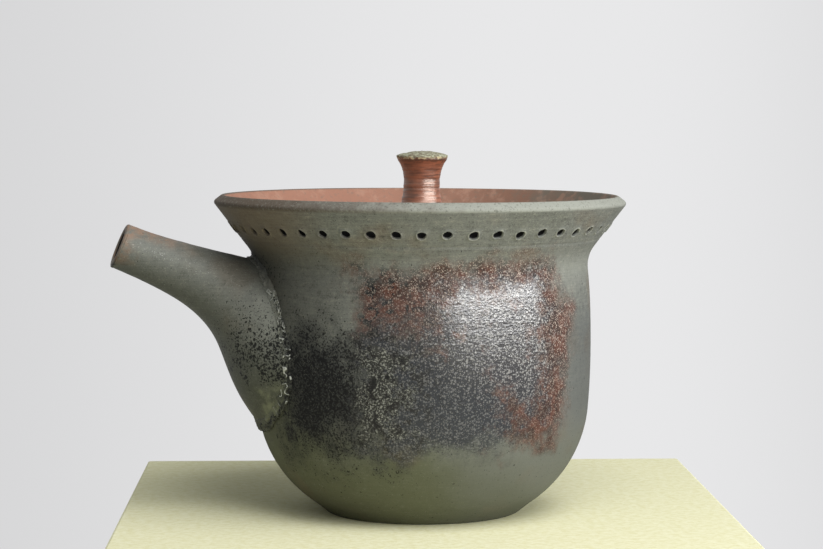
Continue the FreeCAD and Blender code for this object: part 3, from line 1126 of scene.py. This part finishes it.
def shade_clay(clay, height, across):
    """Brown and dust on the clay, and painted shade beside the spout, in its corner, low on the bowl, at the
    right edge and at the foot, by height and place across the front.
    """
    clay.paint(WARM_CLAY, across.fade(-22, -42), height.fade(72, 80), 0.6)
    # Painted shade on the neck beside the spout, deepest in the nook next to it.
    nook = across.fade(-34, -46) * 0.3 + 0.5
    clay.paint(PAINTED_SHADE_AND_WEAR, across.fade(-8, -42), height.band(52, 80, 7), nook)
    # Painted shade in the corner between spout and neck, with soot grains in it.
    corner = across.fade(-33, -46) * height.band(58, 76, 6)
    clay.paint(SOOT_AND_SHADE_GREY, corner, 0.3)
    clay.paint(SOOT, clay.grains(0.9, corner * 0.75), 0.9)
    clay.paint(PALE_DUST_AND_PAINTED_LIGHT, across.fade(16, 48), height.band(69, 76, 4), 0.44)
    flecks = across.fade(-10, 50) * height.fade(66, 80)
    clay.paint(PALE_DUST_AND_PAINTED_LIGHT, clay.specks(0.45, flecks * 0.26), 0.5)
    # Painted shade on the lower right of the bowl, which faces down, away from the lamps.
    clay.paint(LOW_PAINTED_SHADE, across.fade(-4, 20), height.fade(42, 18), 0.55)
    # Painted shade along the right edge of the belly.
    clay.paint(SLATE, across.fade(34, 45), height.band(28, 60, 7), 0.55)
    # Painted shade low on the bowl's left, near the foot.
    clay.paint(PAINTED_SHADE_AND_WEAR, across.fade(2, -34), height.fade(16, 2), 0.5)


def burn_clay(clay, marks, height, around):
    """Soot, a fringe of its grains below the patch, and the melted ash over them."""
    ashy = clay.noise(0.4, 3, 0.7).fade(0.55, 0.68)
    clay.paint(clay.over(SOOT_AND_SHADE_GREY, SOOT_GRAIN, ashy, 0.6), marks["soot"], 0.95)
    clay.paint(SOOT, marks["soot grains"], 0.9)
    fringe = around.band(-52, 48, 8) * height.band(23, 29, 4)
    clay.paint(SOOT, clay.specks(0.6, fringe * 0.42), 0.7)
    clay.paint(ash_colour(clay, marks, height, around), marks["patch"])


# %% Rim and inside of the pot
LIP_DUST = tone(98, 87, 76)
LIP_ASH = tone(162, 164, 154)
FLASH = tone(164, 120, 101)
FLASH_PALE = tone(186, 148, 128)
FLASH_BROWN = tone(140, 106, 89)
FLASH_GREY = tone(118, 113, 102)


def flash_colour(clay, across):
    """Orange flashing, browner to the right, with a grey shade on the far right of the flare."""
    across = clay.clouds(9, 4)[0] * 40.0 + across
    flash = clay.over(FLASH, FLASH_BROWN, across.fade(-24, 26))
    flash = clay.over(flash, FLASH_GREY, across.fade(26, 46))
    flash = clay.over(flash, FLASH_PALE, clay.noise(4, 5, 0.65).fade(0.46, 0.64), 0.4)
    return clay.over(flash, FLASH_GREY, clay.noise(1.2, 3, 0.7).fade(0.54, 0.68), 0.4)


def dress_rim(clay, height, across):
    """A dusty lip, the flashing inside, and holes with painted shade on their sides and a painted highlight
    on their burrs.
    """
    dusted = clay.clouds(3, 3)[0] * 50.0 + across
    lip = clay.over(LIP_DUST, LIP_ASH, dusted.fade(-42, 22))
    worn = clay.noise(0.7, 4, 0.7)
    lip = clay.over(lip, PALE_DUST_AND_PAINTED_LIGHT, worn.fade(0.54, 0.66), 0.45)
    lip = clay.over(lip, PAINTED_SHADE_AND_WEAR, worn.fade(0.46, 0.34), 0.6)
    clay.paint(lip, height.fade(89.2, 89.9), 0.8)
    inner = clay.attribute("inside") * height.fade(2.5, 4)
    clay.paint(flash_colour(clay, across), inner.fade(0.82, 0.96), height.fade(92.4, 91.9))
    # Painted shade on the walls of the pierced holes.
    clay.paint(PIT_AND_HOLE_SHADE, inner.band(0.11, 0.84, 0.06), height.band(74, 88, 1))
    # Painted highlight on the burrs of the holes, stronger to the right.
    burr = clay.attribute("burr").fade(0.08, 0.24)
    clay.paint(PALE_DUST_AND_PAINTED_LIGHT, burr, across.fade(-50, 30), clay.noise(1.6, 3).fade(0.4, 0.62))


# %% Finish of the pot
GLAZE_ROUGHNESS = 0.18
GLAZE_REFRACTION = 2.05


def pot_finish():
    clay = Finish("fired_pot")
    height = clay.along("Z")
    around = around_front(clay)
    across = front_turned(clay)["X"] * (1 / MM)
    marks = fire_marks(clay, height, around)
    bare_clay(clay, (across * 0.5 + height).fade(4, 46), height.fade(22, 60))
    shade_clay(clay, height, across)
    burn_clay(clay, marks, height, around)
    dress_rim(clay, height, across)
    melted = (around * 0.35 + height).fade(42, 68)
    glossy = marks["patch"] * (1.0 - marks["dull"] * 0.85) * (1.0 - marks["moss"] * 0.6)
    glossy = glossy * (melted * 0.85 + 0.15)
    peel = clay.noise(0.6, 3, where=clay.moved((0.75, 0.75, 1)))
    clay.relief += peel * 0.1 * marks["patch"] + clay.noise(0.9, 3) * 0.18 * marks["soot"]
    clay.coat(glossy, GLAZE_ROUGHNESS, GLAZE_REFRACTION)
    return clay.finish(glossy * -0.4 + 0.74)


thrown_pot.data.materials.append(pot_finish())

# %% [markdown]
# ## Spout and seam
# The spout's clay is the same, with brown flashing along its top near the mouth, a khaki bloom low at its
# root and dark specks above that. Painted shade lies underneath it and on its top near the root, and painted
# light along its upper flank and near the root. The seam is the same clay again, sooty on the wall's side,
# with painted shade at its top and pale curls that carry a painted highlight, so one function writes both.

# %% Finish of the spout
SPOUT_BROWN = tone(156, 122, 98)
KHAKI = tone(127, 130, 108)
UNDERSIDE = tone(77, 79, 66)
DARK_INSIDE = tone(40, 35, 31)
RIDGE_PALE = tone(210, 212, 206)
SPOUT_ROUGHNESS = 0.6


def shade_spout(clay, height, reach, facing_up):
    """Shades of the spout's clay by height, by reach towards the mouth and by how far it faces up, with
    painted shade underneath and under the flare, and painted light on the upper flank.
    """
    clay.paint(UNDERSIDE, 0.28)
    # Pale ash and a painted highlight along the upper flank, with painted glints on it.
    flank = facing_up.band(0.14, 0.48, 0.2) * reach.fade(52, 68)
    clay.paint(PALE_DUST_AND_PAINTED_LIGHT, flank, 0.1)
    clay.paint(PALE_SPECKLE_AND_GLINT, clay.grains(0.55, flank * 0.55), 0.28)
    brown = most(facing_up.fade(0.45, 0.95) * reach.fade(62, 84), reach.fade(80, 88) * 0.8)
    patchy = clay.noise(2.4, 4, 0.7).fade(0.3, 0.58)
    clay.paint(SPOUT_BROWN, brown, height.fade(72.5, 75), patchy, 0.8)
    # Painted shade on the faces that look down.
    clay.paint(UNDERSIDE, facing_up.fade(0.35, -0.7), 0.35)
    # Painted shade on the top near the root, under the flare.
    clay.paint(PAINTED_SHADE_AND_WEAR, facing_up.fade(0.2, 0.95), reach.fade(78, 62), 0.4)
    clay.paint(SLATE, height.fade(54, 42), 0.25)


def spout_finish(name, is_seam):
    clay = Finish(name)
    height = clay.along("Z")
    aside, up = clay.clouds(5, 4)
    reach = aside * 22.0 - clay.along("X")
    ragged = up * 16.0 + height
    bare_clay(clay, height.fade(30, 58), 0.8)
    shade_spout(clay, height, reach, clay.split(clay.normal)["Z"])
    # Painted light on the spout near its root, beside the seam.
    clay.paint(PALE_DUST_AND_PAINTED_LIGHT, ragged.band(55, 66, 5), reach.fade(57, 47), 0.35)
    bloom = ragged.band(27, 41, 4) * reach.fade(52, 45)
    clay.paint(KHAKI, bloom, clay.noise(4, 4, 0.6).fade(0.4, 0.62))
    clay.paint(PALE_GRAIN, clay.specks(0.4, 0.1), 0.5)
    crowd = reach.fade(68, 50) * ragged.fade(39, 43) * ragged.fade(72, 50)
    if is_seam:
        past_middle = clay.attribute("across") - 0.45
        near_wall = clay.wander(past_middle, clay.noise(2.5, 4, 0.7), 2.0, 0.2)
        crowd = most(crowd, near_wall * ragged.band(25, 66, 4))
        # Soot on the wall's side of the seam low down, and painted shade at its top, where it meets the
        # neck.
        clay.paint(SOOT_AND_SHADE_GREY, near_wall, most(ragged.band(26, 56, 5), height.fade(66, 74)), 0.6)
    grains = most(clay.grains(1.0, crowd * 0.74), clay.grains(0.6, crowd * 0.68))
    clay.paint(SOOT, most(grains, clay.specks(0.6, crowd * 0.4)), 0.92)
    if is_seam:
        # Pale curls of clay, brightened as a painted highlight.
        clay.paint(RIDGE_PALE, clay.attribute("ridge").fade(0.2, 0.7), height.band(34, 66, 4), 0.85)
        clay.relief += clay.noise(0.8, 3, 0.7) * 0.3
    else:
        # Painted shade over the inside of the spout.
        clay.paint(DARK_INSIDE, clay.attribute("inside"))
    return clay.finish(SPOUT_ROUGHNESS)


spout.data.materials.append(spout_finish("fired_spout", False))
seam.data.materials.append(spout_finish("fired_seam", True))

# %% [markdown]
# ## Lid, knob and strainer
# The lid lay in the collar's shade, where the flame flashed the clay orange-brown. The knob caught more of
# it and has a thin red-brown gloss, under a crust of grey-green ash with a gold edge. The strainer, inside
# the pot, is flashed like the lid.

# %% Finish of the lid
LID_ORANGE = tone(186, 134, 110)
LID_BROWN = tone(150, 106, 86)
LID_ROUGHNESS = 0.72


def lid_finish():
    clay = Finish("flashed_lid")
    mottle = clay.noise(1.6, 4, 0.65)
    clay.colour = clay.over(LID_ORANGE, LID_BROWN, clay.noise(16, 3).fade(0.38, 0.62))
    clay.paint(DARK_GRAIN, mottle.fade(0.47, 0.33), 0.4)
    clay.relief = mottle * 0.1 + clay.noise(0.35, 2) * 0.03
    return clay.finish(LID_ROUGHNESS)


flashed = lid_finish()
lid_piece.data.materials.append(flashed)
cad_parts["strainer_dome"].material_slots[0].material = flashed

# %% Finish of the knob
KNOB_RED = tone(162, 96, 68)
KNOB_DARK = tone(104, 58, 40)
KNOB_SHADOW = tone(58, 44, 34)
KNOB_SHEEN = tone(255, 232, 208)
KNOB_REFRACTION = 2.0
KNOB_ROUGHNESS = 0.36
GLOSS_REFRACTION = 3.4
CRUST = tone(168, 172, 148)
CRUST_DARK = tone(110, 104, 87)
CRUST_GOLD = tone(216, 200, 156)


def knob_finish():
    clay = Finish("fired_knob")
    lines = clay.noise(0.45, 3, 0.6, where=clay.moved((0.08, 0.08, 1)))
    tint = lines * 0.6 + clay.noise(5, 3) * 0.4
    clay.colour = clay.over(KNOB_DARK, KNOB_RED, tint.fade(0.4, 0.58))
    # Painted shade on the knob's left side.
    clay.paint(KNOB_SHADOW, clay.along("X").fade(2, -6), 0.42)
    above_cap = clay.clouds(1.2, 3)[0] * 2.2 + (clay.along("Z") - KNOB_CAP_HEIGHT)
    # Painted shadow under the edge of the cap.
    clay.paint(KNOB_SHADOW, above_cap.band(-0.5, 0.3, 0.3), 0.7)
    crust = above_cap.fade(0.2, 0.6)
    mottle = clay.noise(0.9, 3, 0.7).fade(0.42, 0.58)
    clay.paint(clay.over(CRUST_DARK, CRUST, mottle), crust)
    clay.paint(CRUST_GOLD, above_cap.band(0.2, 0.7, 0.2), clay.noise(1.6, 2).fade(0.46, 0.58), 0.8)
    clay.relief = lines * 0.05 + clay.noise(0.4, 2) * 0.03
    clay.coat((1.0 - crust) * 0.3, KNOB_ROUGHNESS, GLOSS_REFRACTION)
    clay.plug(clay.shader["IOR"], KNOB_REFRACTION)
    clay.plug(clay.shader["Specular Tint"], KNOB_SHEEN)
    return clay.finish(crust * 0.5 + KNOB_ROUGHNESS, sheen=0.5)


knob_piece.data.materials.append(knob_finish())

# %% [markdown]
# ## The studio
# The pot stands on a pale paper mat in front of a pale grey wall. Two softboxes stand to the right of the
# camera, a long low one and a square one high up, and a weak even light fills the shade. The wall is out of
# the lamps' reach and has its own light, brightest behind the pot. Only the camera and reflections see it.
# The camera is a little higher than the knob, and looks slightly down.

# %% Camera
CAMERA_DISTANCE = 0.703
CAMERA_HEIGHT = 0.1192
CAMERA_TILT = math.radians(4.09)
CAMERA_PAN = math.radians(0.227)
FOCAL_PIXELS = 2412.0
PHOTO_WIDTH = 823.0

to_camera = Vector((math.sin(FRONT), -math.cos(FRONT), 0))
to_right = Vector((math.cos(FRONT), math.sin(FRONT), 0))
camera = bpy.data.objects.new("camera", bpy.data.cameras.new("camera"))
camera.data.sensor_width = 36.0
camera.data.lens = FOCAL_PIXELS / PHOTO_WIDTH * camera.data.sensor_width
camera.data.clip_start = 0.01
camera.location = to_camera * CAMERA_DISTANCE + Vector((0, 0, CAMERA_HEIGHT))
camera.rotation_euler = (math.pi / 2 - CAMERA_TILT, 0, FRONT + CAMERA_PAN)
bpy.context.scene.collection.objects.link(camera)
bpy.context.scene.camera = camera
print("lens of", round(camera.data.lens, 1), "mm")

# %% Softboxes
POT_MIDDLE = Vector((0, 0, 0.05))


def add_softbox(name, turn, rise, distance, size, power):
    """An area light that faces the pot, turned to the right of the camera and raised, in degrees."""
    box = bpy.data.objects.new(name, bpy.data.lights.new(name, "AREA"))
    box.data.shape = "RECTANGLE"
    box.data.size, box.data.size_y = size
    box.data.energy = power
    turn = math.radians(turn)
    rise = math.radians(rise)
    level = to_camera * math.cos(turn) + to_right * math.sin(turn)
    to_box = level * math.cos(rise) + Vector((0, 0, math.sin(rise)))
    box.location = to_box * distance + POT_MIDDLE
    box.rotation_euler = to_box.to_track_quat("Z", "Y").to_euler()
    bpy.context.scene.collection.objects.link(box)
    print(name, "stands", round(box.location.z, 2), "m high")


add_softbox("side_box", turn=52, rise=13, distance=0.7, size=(0.95, 0.2), power=4.2)
add_softbox("top_box", turn=30, rise=56, distance=0.95, size=(0.7, 0.7), power=6.6)

# %% World
WALL_DIM = tone(212, 212, 213)
WALL_BRIGHT = tone(232, 232, 233)
FILL = (0.22, 0.226, 0.22, 1.0)

world = bpy.data.worlds.new("studio")
bpy.context.scene.world = world
world.use_nodes = True
room = NodeChain(world.node_tree)
ray = room.node("LightPath", {})
direction = room.node("TexCoord", {})["Generated"]


def share_along(axis):
    """How far a ray runs along an axis, from -1 to 1."""
    return room.node("VectorMath", {0: direction, 1: axis}, operation="DOT_PRODUCT")["Value"]


aside = share_along(to_right)
wall = room.over(WALL_DIM, WALL_BRIGHT, aside.fade(-0.25, 0.05), aside.fade(0.27, 0.08))
mirrored = most(ray["Is Glossy Ray"], ray["Is Transmission Ray"])
seen = most(ray["Is Camera Ray"], mirrored * share_along(-to_camera))
room.plug(room.nodes["Background"].inputs["Color"], room.over(FILL, wall, seen))
print("world has", len(room.nodes), "nodes")

# %% Mat
MAT_LEFT = -0.0873
MAT_RIGHT = 0.0899
MAT_BACK = 0.097
MAT_FRONT = -0.22
MAT_THICKNESS = 0.004
MAT_TURN = math.radians(2.2)
MAT_SOFT = 0.0008
PAPER_PALE = tone(249, 247, 213)
PAPER_WARM = tone(235, 231, 184)
PAPER_ROUGHNESS = 0.9

mat_shape = bmesh.new()
mat_size = (MAT_RIGHT - MAT_LEFT, MAT_BACK - MAT_FRONT, MAT_THICKNESS)
mat_middle = Vector(((MAT_RIGHT + MAT_LEFT) / 2, (MAT_BACK + MAT_FRONT) / 2, -MAT_THICKNESS / 2))
bmesh.ops.create_cube(mat_shape, size=1)
bmesh.ops.scale(mat_shape, vec=mat_size, verts=mat_shape.verts)
bmesh.ops.translate(mat_shape, vec=mat_middle, verts=mat_shape.verts)
turn_by(mat_shape, FRONT + MAT_TURN)
bmesh.ops.bevel(mat_shape, geom=mat_shape.edges[:], offset=MAT_SOFT, segments=2, profile=0.5, material=-1,
                affect="EDGES")
mat_mesh = bpy.data.meshes.new("paper_mat")
mat_shape.to_mesh(mat_mesh)
mat_shape.free()
mat = bpy.data.objects.new("paper_mat", mat_mesh)
bpy.context.scene.collection.objects.link(mat)

paper = Finish("paper")
fibres = paper.noise(2.2, 5, 0.75)
paper.colour = paper.over(PAPER_PALE, PAPER_WARM, fibres.fade(0.35, 0.68))
paper.relief = fibres * 0.1
mat.data.materials.append(paper.finish(PAPER_ROUGHNESS))

# %% [markdown]
# ## Last look
# The colours are meant to look as they are written, so the view is Standard.

# %% Set the view
bpy.context.scene.view_settings.view_transform = "Standard"
